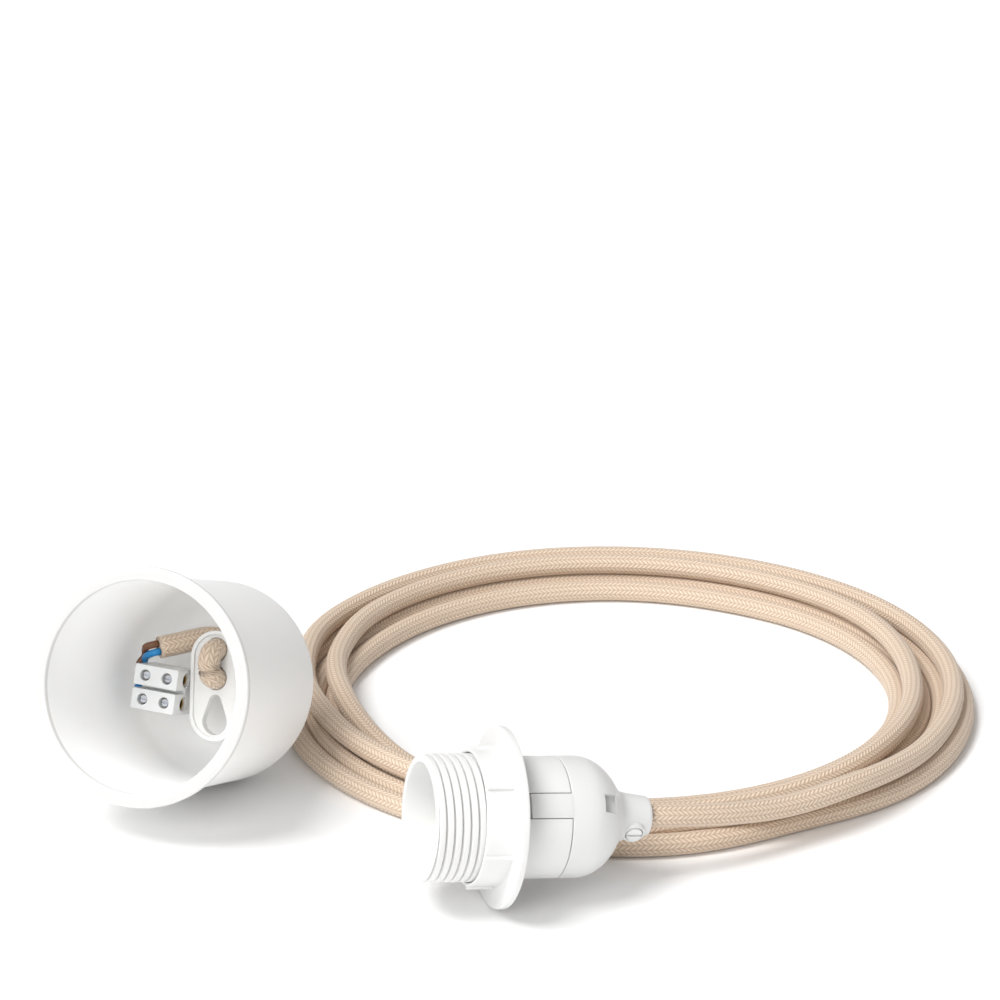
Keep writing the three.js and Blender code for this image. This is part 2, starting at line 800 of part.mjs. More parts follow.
function freeCord(cup, holder) {
  const group = new THREE.Group();
  const ring = piece('cord_coil', makeCoil(), beigeBraid());
  ring.position.set(coilPlace[0], coilPlace[1], 0);
  group.add(ring);
  const fromHolder = lead(holder, neckEnd, holderLeadRoute);
  group.add(piece('cord_holder_lead', fromHolder, beigeBraid()));
  const fromCup = lead(cup, -neckLength, cupLeadRoute);
  group.add(piece('cord_cup_lead', fromCup, beigeBraid()));
  return group;
}

const cup = cupAssembly();
const holder = holderAssembly();
const set = new THREE.Group();
set.add(cup, holder, freeCord(cup, holder));

export default set;
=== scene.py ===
"""A pendant lamp cord set: ceiling cup, coiled braided cord, and a lampholder with a shade ring."""
import math

import bmesh
import bpy
import numpy as np
from mathutils import Matrix, Vector


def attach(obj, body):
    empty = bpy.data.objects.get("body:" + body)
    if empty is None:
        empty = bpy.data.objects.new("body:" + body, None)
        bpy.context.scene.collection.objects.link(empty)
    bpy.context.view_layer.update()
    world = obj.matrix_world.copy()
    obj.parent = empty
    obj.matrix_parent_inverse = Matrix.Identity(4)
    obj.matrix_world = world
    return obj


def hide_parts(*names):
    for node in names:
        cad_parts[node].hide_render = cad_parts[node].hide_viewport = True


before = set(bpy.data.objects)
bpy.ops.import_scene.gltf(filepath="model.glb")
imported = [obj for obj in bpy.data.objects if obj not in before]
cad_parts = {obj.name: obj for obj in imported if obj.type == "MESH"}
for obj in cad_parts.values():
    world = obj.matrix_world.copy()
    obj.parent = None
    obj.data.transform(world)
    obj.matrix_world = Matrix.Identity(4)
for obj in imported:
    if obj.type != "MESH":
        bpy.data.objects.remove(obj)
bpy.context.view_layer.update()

MM = 0.001

# Camera, as the photograph was taken
PIXELS = 1000
FOCAL_PIXELS = 4100.4
SENSOR_WIDTH = 36
CAMERA_PLACE = (0.05166, -1.20074, 0.577)
CAMERA_PITCH = 21

# Clearances between pieces that touch, in millimetres like every size below
SEAT_GAP = 0.3
HAIR_GAP = 0.02

# Cord
CORD_DIAMETER = 7.4
CORE_DIAMETER = 2.4
CORD_SIDES = 20
STITCH_LENGTH = 1.7
STITCH_ROWS = 14
NECK_BORE = CORD_DIAMETER / 2 + SEAT_GAP
CORD_IN_NECK = 3

# Ceiling cup
CUP_PLACE = (-36.71, 62.2, 27.55)
CUP_YAW = 24.1
CUP_TILT = 19.75
CUP_DEPTH = 70.4
CUP_MOUTH_RADIUS = 35.6
CUP_BASE_RADIUS = 33.5
CUP_WALL = 1.3
CUP_BASE_THICKNESS = 1.8
CUP_EDGE_ROUND = 14
CUP_RIM_RADIUS = 38.8
CUP_LIP_THICKNESS = 1.8
LIP_EDGE = 0.5
LIP_EDGE_MIDDLE = 0.15
LIP_BACK_EDGE = 0.35
LIP_BACK_MIDDLE = 0.1
CUP_NECK_LENGTH = 9
CUP_NECK_STRAIGHT = 4
NECK_RADIUS = 7.4
NECK_CHAMFER = 0.8
NECK_FILLET = 0.5
CUP_GRIP_HEIGHT = -4.7

# Lampholder
HOLDER_PLACE = (52.3, -46.24, 28.22)
HOLDER_YAW = 73.6
HOLDER_TILT = 7.1
HOLDER_NECK_END = -47.8
HOLDER_NECK_STRAIGHT = 9
HOLDER_NECK_TIP = [(5.3, 0), (5.9, 0.2), (6.25, 0.7), (6.4, 1.4)]
HOLDER_GRIP_HEIGHT = -41.5
HOLDER_GRIP_TURN = -22
SKIRT_BORE = 17.3
SKIRT_ROOT = 18.7
SLEEVE_RADIUS = 19.1
THREAD_DEPTH = 1.25
THREAD_PITCH = 2.6
THREAD_START = 1.5
THREAD_END_GAP = 0.9
THREAD_CREST = 0.3
THREAD_FOOT = 0.47
THREAD_FADES = 6
MOUTH_HEIGHT = 26.9
MOUTH_EDGE = 0.5
RIM_BAND = 1.1
RIM_SLOPE = 0.5
LEDGE_BORE = 15.8
LEDGE_LOW = 0.2
LEDGE_HIGH = 2.4
SLEEVE_LENGTH = 16.8
LATCH_TURN = 34.8
LATCH_WIDTH = 7.7
LATCH_TOP = -3.7
LATCH_GAP = 1.3
LATCH_PLAY = 0.5
SPIGOT_TOP = -3.3
RIM_RADIUS = 19.65
DOME_WALL = 1.6
DOME_THROAT = [(0, -3.8), (0.4, -2.2), (1.1, -0.9)]
SEAM_EDGE = 0.2
DOME_OUTLINE = [
    (9.6, -36.5), (11.4, -35.3), (13.3, -33.9), (15.1, -32.2), (16.6, -30.4), (17.8, -28.4),
    (18.7, -26), (19.1, -23.5),
]
WINDOW_SIZE = (9, 5.8, 4.4)
WINDOW_PLACE = (15.5, 0, -30.3)
WINDOW_TURN = 38
WINDOW_FLOOR = 13.4

# Cord grip
BOSS_RADIUS = 3.6
BOSS_FOOT = 4
BOSS_REACH = 8
GRIP_SHANK = 1.6
GRIP_HEAD = 2.6
GRIP_HEAD_FLOOR = 7.1
GRIP_HEAD_TOP = 8.5
GRIP_GAP = 0.3
GRIP_RECESS = 1.2
GRIP_SLOT = (7, 0.8, 1.6)
CUTTER_END = 12
EDGE_ROUND = 0.4
EDGE_STEP = 0.1

# Shade ring
RING_FLANGE = 28.5
RING_FLANGE_THICKNESS = 2.4
RING_HUB = 21.3
RING_TOP = 11.4
RING_BORE = 20.3
RING_RIBS = 6
RING_RIB_TURN = 49
RIB_REACH = 1.8
RIB_WIDTH = 1.1

# Coil: lane 0 is its inmost turn, and each lane lies one cord further out
COIL_CENTRE = (93.16, 104.76)
LANE_RADIUS = 95
LAYER_RISE = 6.4
FIRST_CLOCK = 300
CLOCK_STEP = 30
TURN_SAMPLES = 120
FIRST_SAMPLE = 0.3

# How the coil settles, per step, and how many last steps only push the turns apart
SETTLE_STEPS = 240
PUSH_ONLY_STEPS = 20
RADIUS_SMOOTHING = 0.2
HEIGHT_SMOOTHING = 0.25
RADIUS_PULL = 0.03
SINK = 0.05
PUSH = 0.95
FLOOR_GAP = 0.02
ROUTE_SMOOTHING = 0.25
ROUTE_PASSES = 3

# Each turn of the coil as (lane, layer) at every 30 degrees, anticlockwise from 300 degrees
COIL_TURNS = [
    [(3.2, 1), (2.9, 1), (2.75, 1), (2.4, 1), (2.0, 1), (1.9, 1),
     (2.5, 1), (2.7, 1), (1.9, 1), (1.2, 1), (1.3, 1), (1.4, 1)],
    [(1.5, 1), (1.2, 1), (0.85, 1), (1.1, 2), (0.9, 2), (1.2, 2),
     (1.3, 2), (1.2, 1.5), (0.4, 1), (0.2, 1), (0.2, 1), (0.0, 0.6)],
    [(0.0, 0), (0.2, 0), (0.65, 0), (0.75, 0), (0.0, 0), (0.2, 0),
     (0.7, 0), (0.3, 0), (0.7, 0), (0.9, 0), (0.9, 0), (0.9, 0)],
    [(1.0, 0), (1.2, 0), (1.65, 0), (0.9, 1), (0.5, 1), (0.9, 1),
     (0.9, 1), (1.0, 1), (1.3, 0.6), (1.9, 0), (2.0, 0), (2.6, 0)],
    [(3.6, 0.5), (2.3, 0.2), (1.85, 1), (2.0, 0), (2.0, 0), (2.0, 0),
     (1.9, 0), (1.9, 0), (2.3, 0), (2.9, 0), (3.0, 0), (3.6, 0)],
    [(2.6, 0), (3.4, 0), (2.8, 0), (2.95, 0), (3.0, 0), (3.0, 0),
     (3.0, 0), (2.8, 0)],
]

# The free leads, from each neck, and where they join the coil
HOLDER_LEAD = [
    (115.2, -26.7, 19.5), (123.7, -22.4, 18), (131.7, -17.5, 16.4), (139.2, -12.2, 14.8),
    (144.7, -8.4, 14.1),
]
HOLDER_JOIN = [(152.2, -1.8, 11.6), (159.2, 6.2, 10.3)]
CUP_LEAD = [(-27.2, 89.3, 16.4), (-28.2, 83.8, 18.7), (-29.6, 79, 20.7)]
CUP_JOIN = [(-24, 121, 4.4), (-24.2, 112, 5.9), (-24.7, 104, 8.8), (-25.8, 96.4, 12.8)]


def assembly_matrix(yaw, tilt, place):
    """Axes of an assembly: Z out of its mouth, Y up, X to the viewer's right."""
    turn = math.radians(yaw)
    lift = math.radians(tilt)
    outward = Vector((
        -math.sin(turn) * math.cos(lift),
        -math.cos(turn) * math.cos(lift),
        math.sin(lift),
    ))
    across = Vector((0, 0, 1)).cross(outward).normalized()
    upward = outward.cross(across)
    matrix = Matrix((across, upward, outward)).transposed().to_4x4()
    matrix.translation = Vector(place)
    return matrix


CUP = assembly_matrix(CUP_YAW, CUP_TILT, CUP_PLACE)
HOLDER = assembly_matrix(HOLDER_YAW, HOLDER_TILT, HOLDER_PLACE)
UPRIGHT = Matrix.Identity(4)


# Camera

def link(name, data):
    made = bpy.data.objects.new(name, data)
    bpy.context.scene.collection.objects.link(made)
    return made


def add_camera():
    data = bpy.data.cameras.new("camera")
    data.sensor_width = SENSOR_WIDTH
    data.lens = SENSOR_WIDTH * FOCAL_PIXELS / PIXELS
    camera = link("camera", data)
    camera.location = CAMERA_PLACE
    camera.rotation_euler = (math.radians(90 - CAMERA_PITCH), 0, 0)
    bpy.context.scene.camera = camera


# Cord route

def polar(point):
    across = point[0] - COIL_CENTRE[0]
    away = point[1] - COIL_CENTRE[1]
    clock = math.degrees(math.atan2(away, across)) % 360
    return clock, math.hypot(across, away), point[2]


def route_controls():
    """Clock, radius and height of every given point, from the holder's neck to the cup's."""
    controls = []
    holder_exit = HOLDER @ Vector((0, 0, HOLDER_NECK_END))
    holder_straight = HOLDER @ Vector((0, 0, HOLDER_NECK_END - HOLDER_NECK_STRAIGHT))
    for point in [holder_exit, holder_straight, *HOLDER_LEAD, *HOLDER_JOIN]:
        controls.append(polar(point))
    for turn, lanes in enumerate(COIL_TURNS):
        for step, (lane, layer) in enumerate(lanes):
            clock = FIRST_CLOCK + 360 * turn + CLOCK_STEP * step
            if turn == 0 and step == 0:
                continue
            radius = LANE_RADIUS + CORD_DIAMETER * lane
            controls.append((clock, radius, CORD_DIAMETER / 2 + LAYER_RISE * layer))
    last_turn = 360 * len(COIL_TURNS)
    cup_exit = CUP @ Vector((0, 0, -CUP_NECK_LENGTH))
    cup_straight = CUP @ Vector((0, 0, -CUP_NECK_LENGTH - CUP_NECK_STRAIGHT))
    for point in [*CUP_JOIN, *CUP_LEAD, cup_straight, cup_exit]:
        clock, radius, height = polar(point)
        controls.append((clock + last_turn, radius, height))
    return np.array(controls)


def settle(radius, height, fixed):
    """Lets the turns slide apart to a cord's width and sink on to each other and the floor."""
    free = 1.0 - fixed
    wanted = radius.copy()
    count = len(radius)
    turns = count // TURN_SAMPLES
    for step in range(SETTLE_STEPS):
        if step < SETTLE_STEPS - PUSH_ONLY_STEPS:
            for values, share in ((radius, RADIUS_SMOOTHING), (height, HEIGHT_SMOOTHING)):
                bend = values[:-2] - 2 * values[1:-1] + values[2:]
                values[1:-1] += share * bend * free[1:-1]
            radius += RADIUS_PULL * (wanted - radius) * free
            height -= SINK * free
        for turn in range(1, turns + 1):
            below = slice(0, count - turn * TURN_SAMPLES)
            above = slice(turn * TURN_SAMPLES, count)
            out = radius[above] - radius[below]
            rise = height[above] - height[below]
            distance = np.maximum(np.hypot(out, rise), 0.01)
            push = np.maximum(0, CORD_DIAMETER - distance) / distance
            share = free[above] + free[below]
            share = np.where(share > 0, PUSH / np.maximum(share, 1), 0)
            radius[above] += out * push * share * free[above]
            radius[below] -= out * push * share * free[below]
            height[above] += rise * push * share * free[above]
            height[below] -= rise * push * share * free[below]
        floor = CORD_DIAMETER / 2 + FLOOR_GAP
        height[:] = np.where(free > 0, np.maximum(height, floor), height)
    return radius, height


def cord_route():
    """Points of the whole free cord, in millimetres."""
    controls = route_controls()
    step = 360 / TURN_SAMPLES
    clocks = np.arange(controls[0, 0] + FIRST_SAMPLE * step, controls[-1, 0], step)
    radius = np.interp(clocks, controls[:, 0], controls[:, 1])
    height = np.interp(clocks, controls[:, 0], controls[:, 2])
    lead_end = controls[1 + len(HOLDER_LEAD), 0]
    tail_start = controls[-2 - len(CUP_LEAD), 0]
    fixed = ((clocks < lead_end) | (clocks > tail_start)).astype(float)
    radius, height = settle(radius, height, fixed)
    angles = np.radians(clocks)
    points = np.stack([
        COIL_CENTRE[0] + radius * np.cos(angles),
        COIL_CENTRE[1] + radius * np.sin(angles),
        height,
    ], axis=1)
    for _ in range(ROUTE_PASSES):
        points[1:-1] += ROUTE_SMOOTHING * (points[:-2] - 2 * points[1:-1] + points[2:])
    first = HOLDER @ Vector((0, 0, HOLDER_NECK_END + CORD_IN_NECK))
    last = CUP @ Vector((0, 0, -CUP_NECK_LENGTH + CORD_IN_NECK))
    return np.vstack([[first], points, [last]])


# Mesh building

def mesh_object(name, points, faces, matrix=UPRIGHT):
    """An object at the origin, with its place in its mesh."""
    mesh = bpy.data.meshes.new(name)
    placed = [(matrix @ Vector(point)) * MM for point in points]
    mesh.from_pydata(placed, [], faces)
    mesh.validate()
    return link(name, mesh)


def smooth(piece, angle=32):
    piece.data.shade_smooth()
    piece.data.set_sharp_from_angle(angle=math.radians(angle))
    return piece


def weld(piece, reach=0.00001):
    work = bmesh.new()
    work.from_mesh(piece.data)
    bmesh.ops.remove_doubles(work, verts=work.verts, dist=reach)
    bmesh.ops.recalc_face_normals(work, faces=work.faces)
    work.to_mesh(piece.data)
    work.free()
    return piece


def softened(profile, reach, steps=4):
    """A closed profile with each corner rounded off."""
    corners = [np.array(corner, float) for corner in profile]
    count = len(corners)
    points = []
    for i, corner in enumerate(corners):
        ends = []
        for other in (corners[i - 1], corners[(i + 1) % count]):
            way = other - corner
            length = np.linalg.norm(way)
            ends.append(corner + way * min(reach / length, 0.45))
        for k in range(steps + 1):
            t = k / steps
            points.append(tuple((1 - t) ** 2 * ends[0] + 2 * t * (1 - t) * corner + t * t * ends[1]))
    return points


def arc(centre, radius, start, end, steps):
    points = []
    for i in range(steps + 1):
        angle = math.radians(start + (end - start) * i / steps)
        points.append((centre[0] + radius * math.cos(angle), centre[1] + radius * math.sin(angle)))
    return points


def turned(name, profile, matrix, segments=160):
    """A closed profile of (radius, height) turned about the assembly's Z axis."""
    rows = len(profile)
    points = []
    for i in range(segments):
        angle = 2 * math.pi * i / segments
        points += [(r * math.cos(angle), r * math.sin(angle), z) for r, z in profile]
    faces = []
    for i in range(segments):
        beside = (i + 1) % segments
        for j in range(rows):
            above = (j + 1) % rows
            faces.append((
                i * rows + j, beside * rows + j, beside * rows + above, i * rows + above,
            ))
    return weld(mesh_object(name, points, faces, matrix))


def spindle(name, profile, matrix, segments=48):
    """A solid of revolution whose two ends are flat discs."""
    points = []
    for radius, height in profile:
        for i in range(segments):
            angle = 2 * math.pi * i / segments
            points.append((radius * math.cos(angle), radius * math.sin(angle), height))
    faces = [tuple(range(segments))[::-1]]
    for j in range(len(profile) - 1):
        for i in range(segments):
            beside = (i + 1) % segments
            faces.append((
                j * segments + i, j * segments + beside,
                (j + 1) * segments + beside, (j + 1) * segments + i,
            ))
    last = (len(profile) - 1) * segments
    faces.append(tuple(range(last, last + segments)))
    return mesh_object(name, points, faces, matrix)


def block(name, size, centre, matrix, turn=0):
    """A box turned about Z, as a solid for cutting or joining."""
    half = [value / 2 for value in size]
    spin = Matrix.Rotation(math.radians(turn), 4, "Z")
    corners = []
    for i in range(8):
        sign = [1 if i & bit else -1 for bit in (1, 2, 4)]
        corners.append(spin @ Vector([c + s * h for c, s, h in zip(centre, sign, half)]))
    faces = [(0, 2, 3, 1), (4, 5, 7, 6), (0, 1, 5, 4), (2, 6, 7, 3), (0, 4, 6, 2), (1, 3, 7, 5)]
    return mesh_object(name, corners, faces, matrix)


def radial(height, turn):
    """Turns a lathe's axis to point outwards from Z, at a height and a turn round it."""
    spin = Matrix.Rotation(math.radians(turn), 4, "Z")
    lift = Matrix.Translation((0, 0, height))
    return lift @ spin @ Matrix.Rotation(math.radians(90), 4, "Y")


def carve(piece, tools):
    """Joins or cuts each tool, and leaves one plain mesh."""
    for operation, tool in tools:
        modifier = piece.modifiers.new("carve", "BOOLEAN")
        modifier.operation = operation
        modifier.object = tool
        modifier.solver = "EXACT"
    bpy.context.view_layer.update()
    depsgraph = bpy.context.evaluated_depsgraph_get()
    carved = bpy.data.meshes.new_from_object(piece.evaluated_get(depsgraph))
    piece.modifiers.clear()
    piece.data = carved
    for _, tool in tools:
        bpy.data.objects.remove(tool)
    return piece


def tube(name, route, radius, sides):
    """A round tube along a route, with its length and its turn as UV coordinates."""
    route = np.array(route, float)
    ahead = np.gradient(route, axis=0)
    ahead /= np.linalg.norm(ahead, axis=1)[:, None]
    side = np.cross(ahead, (0, 0, 1))
    side /= np.linalg.norm(side, axis=1)[:, None]
    up = np.cross(side, ahead)
    run = np.concatenate([[0], np.cumsum(np.linalg.norm(np.diff(route, axis=0), axis=1))])
    angles = 2 * np.pi * np.arange(sides) / sides
    rings = (
        route[:, None, :]
        + radius * np.cos(angles)[None, :, None] * side[:, None, :]
        + radius * np.sin(angles)[None, :, None] * up[:, None, :]
    )
    points = rings.reshape(-1, 3)
    faces = []
    marks = []
    for i in range(len(route) - 1):
        for j in range(sides):
            beside = (j + 1) % sides
            faces.append((i * sides + j, i * sides + beside,
                          (i + 1) * sides + beside, (i + 1) * sides + j))
            low, high = j / sides, (j + 1) / sides
            marks += [(run[i], low), (run[i], high), (run[i + 1], high), (run[i + 1], low)]
    for first, order in ((0, -1), (len(route) - 1, 1)):
        cap = [first * sides + j for j in range(sides)]
        faces.append(tuple(cap[::order]))
        marks += [(run[first], j / sides) for j in range(sides)][::order]
    piece = mesh_object(name, points, faces)
    layer = piece.data.uv_layers.new(name="cord")
    layer.data.foreach_set("uv", np.array(marks, float).reshape(-1))
    piece.data.shade_smooth()
    return piece


def curve_through(points, spacing):
    """Points of a smooth curve through given points, about the given distance apart."""
    corners = [Vector(point) for point in points]
    padded = [2 * corners[0] - corners[1], *corners, 2 * corners[-1] - corners[-2]]
    route = []
    for i in range(1, len(padded) - 2):
        before, start, end, after = padded[i - 1:i + 3]
        steps = max(1, round((end - start).length / spacing))
        knots = [0]
        for a, b in ((before, start), (start, end), (end, after)):
            knots.append(knots[-1] + max(math.sqrt((b - a).length), 0.001))
        for k in range(steps):
            t = knots[1] + (knots[2] - knots[1]) * k / steps
            a1 = before.lerp(start, (t - knots[0]) / (knots[1] - knots[0]))
            a2 = start.lerp(end, (t - knots[1]) / (knots[2] - knots[1]))
            a3 = end.lerp(after, (t - knots[2]) / (knots[3] - knots[2]))
            b1 = a1.lerp(a2, (t - knots[0]) / (knots[2] - knots[0]))
            b2 = a2.lerp(a3, (t - knots[1]) / (knots[3] - knots[1]))
            route.append(b1.lerp(b2, (t - knots[1]) / (knots[2] - knots[1])))
    route.append(corners[-1])
    return route


# Materials

def node(tree, kind, inputs=None, output=0, **settings):
    made = tree.nodes.new(kind)
    for key, value in settings.items():
        setattr(made, key, value)
    for name, value in (inputs or {}).items():
        socket = made.inputs[name]
        if isinstance(value, bpy.types.NodeSocket):
            tree.links.new(value, socket)
        else:
            socket.default_value = value
    return made.outputs[output]


def maths(tree, operation, first, second=0.0, clamp=False):
    return node(tree, "ShaderNodeMath", {0: first, 1: second}, operation=operation, use_clamp=clamp)


def new_material(name):
    material = bpy.data.materials.new(name)
    material.use_nodes = True
    tree = material.node_tree
    shader = tree.nodes["Principled BSDF"]
    return material, tree, shader


def mixed(tree, share, low, high):
    made = tree.nodes.new("ShaderNodeMix")
    made.data_type = "RGBA"
    for socket, value in ((made.inputs[0], share), (made.inputs[6], low), (made.inputs[7], high)):
        if isinstance(value, bpy.types.NodeSocket):
            tree.links.new(value, socket)
        else:
            socket.default_value = value
    return made.outputs[2]


STITCH_LEAN = 1.1
CROWN_POWER = 2.4
ROW_POWER = 2.2
ROW_DEPTH = 0.75
# Painted shade in the hollows between stitches
HOLLOW_PAINTED_SHADE = (0.42, 0.285, 0.19, 1)
THREAD_CROWN = (0.80, 0.655, 0.515, 1)
THREAD_TINT = (0.62, 0.47, 0.35, 1)
TINT_SHARE = 0.22
FIBRE_SHARE = 0.35
# Painted shade on the cup's lip
LIP_PAINTED_SHADE = (0.64, 0.64, 0.635, 1)


def braided_textile():
    """Rows of slanting stitches round the cord, each row leaning against the next."""
    material, tree, shader = new_material("braided_textile")
    uv = node(tree, "ShaderNodeUVMap", uv_map="cord")
    split = tree.nodes.new("ShaderNodeSeparateXYZ")
    tree.links.new(uv, split.inputs[0])
    along = maths(tree, "DIVIDE", split.outputs[0], STITCH_LENGTH)
    around = maths(tree, "MULTIPLY", split.outputs[1], STITCH_ROWS)
    odd_row = maths(tree, "MODULO", maths(tree, "FLOOR", around), 2.0)
    lean = maths(tree, "SUBTRACT", maths(tree, "MULTIPLY", odd_row, 2.0), 1.0)
    across = maths(tree, "SUBTRACT", maths(tree, "FRACT", around), 0.5)
    shear = maths(tree, "MULTIPLY", maths(tree, "MULTIPLY", lean, across), STITCH_LEAN)
    stitch = maths(tree, "SUBTRACT", maths(tree, "FRACT", maths(tree, "ADD", along, shear)), 0.5)
    from_stitch = maths(tree, "ABSOLUTE", maths(tree, "MULTIPLY", stitch, 2.0))
    crown = maths(tree, "SUBTRACT", 1.0, maths(tree, "POWER", from_stitch, CROWN_POWER))
    from_row = maths(tree, "ABSOLUTE", maths(tree, "MULTIPLY", across, 2.0))
    fall = maths(tree, "MULTIPLY", maths(tree, "POWER", from_row, ROW_POWER), ROW_DEPTH)
    swell = maths(tree, "SUBTRACT", 1.0, fall)
    relief = maths(tree, "MULTIPLY", crown, swell)
    place = node(tree, "ShaderNodeTexCoord", output=3)
    fibre = node(tree, "ShaderNodeTexNoise", {"Vector": place, "Scale": 2600.0, "Detail": 2.0})
    blotch = node(tree, "ShaderNodeTexNoise", {"Vector": place, "Scale": 60.0, "Detail": 1.0})
    # Painted shade: the base colour darkens from each stitch's crown into the hollows around it
    thread = mixed(tree, maths(tree, "POWER", relief, 0.6, True), HOLLOW_PAINTED_SHADE, THREAD_CROWN)
    tinted = mixed(tree, maths(tree, "MULTIPLY", blotch, TINT_SHARE), thread, THREAD_TINT)
    tree.links.new(tinted, shader.inputs["Base Color"])
    height = maths(tree, "ADD", relief, maths(tree, "MULTIPLY", fibre, FIBRE_SHARE))
    bump = node(tree, "ShaderNodeBump", {"Height": height, "Strength": 0.7, "Distance": 0.00035})
    tree.links.new(bump, shader.inputs["Normal"])
    shader.inputs["Roughness"].default_value = 0.72
    shader.inputs["Sheen Weight"].default_value = 0.25
    shader.inputs["Sheen Roughness"].default_value = 0.4
    return material


def moulded(name, colour, roughness, grain=0.0, glow=0.0, depth=0.002):
    """Moulded plastic: soft edges, a little light let in, and a fine grain."""
    material, tree, shader = new_material(name)
    place = node(tree, "ShaderNodeTexCoord", output=3)
    cloud = node(tree, "ShaderNodeTexNoise", {"Vector": place, "Scale": 45.0, "Detail": 3.0})
    shade = tuple(value * 0.965 for value in colour) + (1,)
    tint = mixed(tree, cloud, shade, (*colour, 1))
    tree.links.new(tint, shader.inputs["Base Color"])
    fine = node(tree, "ShaderNodeTexNoise", {"Vector": place, "Scale": 1800.0, "Detail": 2.0})
    edge = node(tree, "ShaderNodeBevel", {"Radius": 0.00025}, samples=4)
    bump = node(tree, "ShaderNodeBump", {
        "Height": fine, "Strength": grain, "Distance": 0.00006, "Normal": edge})
    tree.links.new(bump, shader.inputs["Normal"])
    rough = maths(tree, "ADD", roughness - 0.04, maths(tree, "MULTIPLY", fine, 0.08))
    tree.links.new(rough, shader.inputs["Roughness"])
    shader.inputs["Subsurface Weight"].default_value = glow
    shader.inputs["Subsurface Radius"].default_value = (1, 0.95, 0.9)
    shader.inputs["Subsurface Scale"].default_value = depth
    shader.inputs["IOR"].default_value = 1.5
    return material


def paint_lip_shade(material):
    """Painted shade: the cup's lip is thicker than its wall, so less light comes through it, and its
    base colour is darkened to stand for that.
    """
    tree = material.node_tree
    shader = tree.nodes["Principled BSDF"]
    wall_tint = shader.inputs["Base Color"].links[0].from_socket
    axis = CUP.to_3x3() @ Vector((0, 0, 1))
    lip_floor = (CUP @ Vector((0, 0, CUP_DEPTH - CUP_LIP_THICKNESS))) * MM
    place = node(tree, "ShaderNodeTexCoord", output=3)
    along = node(tree, "ShaderNodeVectorMath", {0: place, 1: tuple(axis)}, output=1,
                 operation="DOT_PRODUCT")
    # painted shade: the base colour turns darker above the lip floor
    share = maths(tree, "GREATER_THAN", along, axis.dot(lip_floor))
    tree.links.new(mixed(tree, share, wall_tint, LIP_PAINTED_SHADE), shader.inputs["Base Color"])


def clear_plastic():
    material, tree, shader = new_material("clear_moulding")
    edge = node(tree, "ShaderNodeBevel", {"Radius": 0.0004}, samples=4)
    tree.links.new(edge, shader.inputs["Normal"])
    shader.inputs["Base Color"].default_value = (0.97, 0.98, 0.98, 1)
    shader.inputs["Roughness"].default_value = 0.25
    shader.inputs["Transmission Weight"].default_value = 0.25
    shader.inputs["IOR"].default_value = 1.3
    return material


def metal(name, colour, roughness):
    material, tree, shader = new_material(name)
    place = node(tree, "ShaderNodeTexCoord", output=3)
    grain = node(tree, "ShaderNodeTexNoise", {"Vector": place, "Scale": 900.0, "Detail": 2.0})
    rough = maths(tree, "ADD", roughness - 0.08, maths(tree, "MULTIPLY", grain, 0.16))
    tree.links.new(rough, shader.inputs["Roughness"])
    shader.inputs["Base Color"].default_value = (*colour, 1)
    shader.inputs["Metallic"].default_value = 1
    edge = node(tree, "ShaderNodeBevel", {"Radius": 0.0002}, samples=4)
    tree.links.new(edge, shader.inputs["Normal"])
    return material


def dress(piece, body, finish, slot, *nodes):
    piece.data.materials.clear()
    piece.data.materials.append(finish)
    if nodes:
        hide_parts(*nodes)
    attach(piece, body)
    return piece


# Free cord

def add_free_cord(finish):
    route = cord_route()
    piece = tube("braided_cord", route, CORD_DIAMETER / 2, CORD_SIDES)
    dress(piece, "set", finish, "beige_braid", "cord_coil", "cord_holder_lead", "cord_cup_lead")


add_camera()
textile = braided_textile()
add_free_cord(textile)


# Cord grip on a neck

def with_boss(piece, matrix, height, turn):
    """Adds a boss to a neck, with a stepped hole for the grip screw and the cord's bore kept clear."""
    out = matrix @ radial(height, turn)
    level = matrix @ Matrix.Translation((0, 0, height))
    boss = spindle("boss", [
        (BOSS_RADIUS, BOSS_FOOT), (BOSS_RADIUS, BOSS_REACH - EDGE_ROUND),
        (BOSS_RADIUS - EDGE_STEP, BOSS_REACH - EDGE_STEP), (BOSS_RADIUS - EDGE_ROUND, BOSS_REACH),
    ], out)
    clear_bore = spindle("bore", [(NECK_BORE, -BOSS_REACH), (NECK_BORE, BOSS_REACH)], level, 64)
    shank_hole = GRIP_SHANK + GRIP_GAP
    head_hole = GRIP_HEAD + GRIP_GAP
    hole = spindle("hole", [(shank_hole, 0), (shank_hole, CUTTER_END)], out, 32)
    recess = spindle(
        "recess", [(head_hole, BOSS_REACH - GRIP_RECESS), (head_hole, CUTTER_END)], out, 40)
    return carve(piece, [
        ("UNION", boss), ("DIFFERENCE", clear_bore), ("DIFFERENCE", hole), ("DIFFERENCE", recess),
    ])


def grip_screw(name, matrix, height, turn):
    out = matrix @ radial(height, turn)
    screw = spindle(name, [
        (GRIP_SHANK, BOSS_FOOT), (GRIP_SHANK, GRIP_HEAD_FLOOR), (GRIP_HEAD, GRIP_HEAD_FLOOR),
        (GRIP_HEAD, GRIP_HEAD_TOP - EDGE_ROUND),
        (GRIP_HEAD - EDGE_STEP, GRIP_HEAD_TOP - 1.2 * EDGE_STEP),
        (GRIP_HEAD - EDGE_ROUND, GRIP_HEAD_TOP),
    ], out)
    slot = block("slot", GRIP_SLOT, (0, 0, GRIP_HEAD_TOP), out)
    return smooth(carve(screw, [("DIFFERENCE", slot)]))


# Ceiling cup

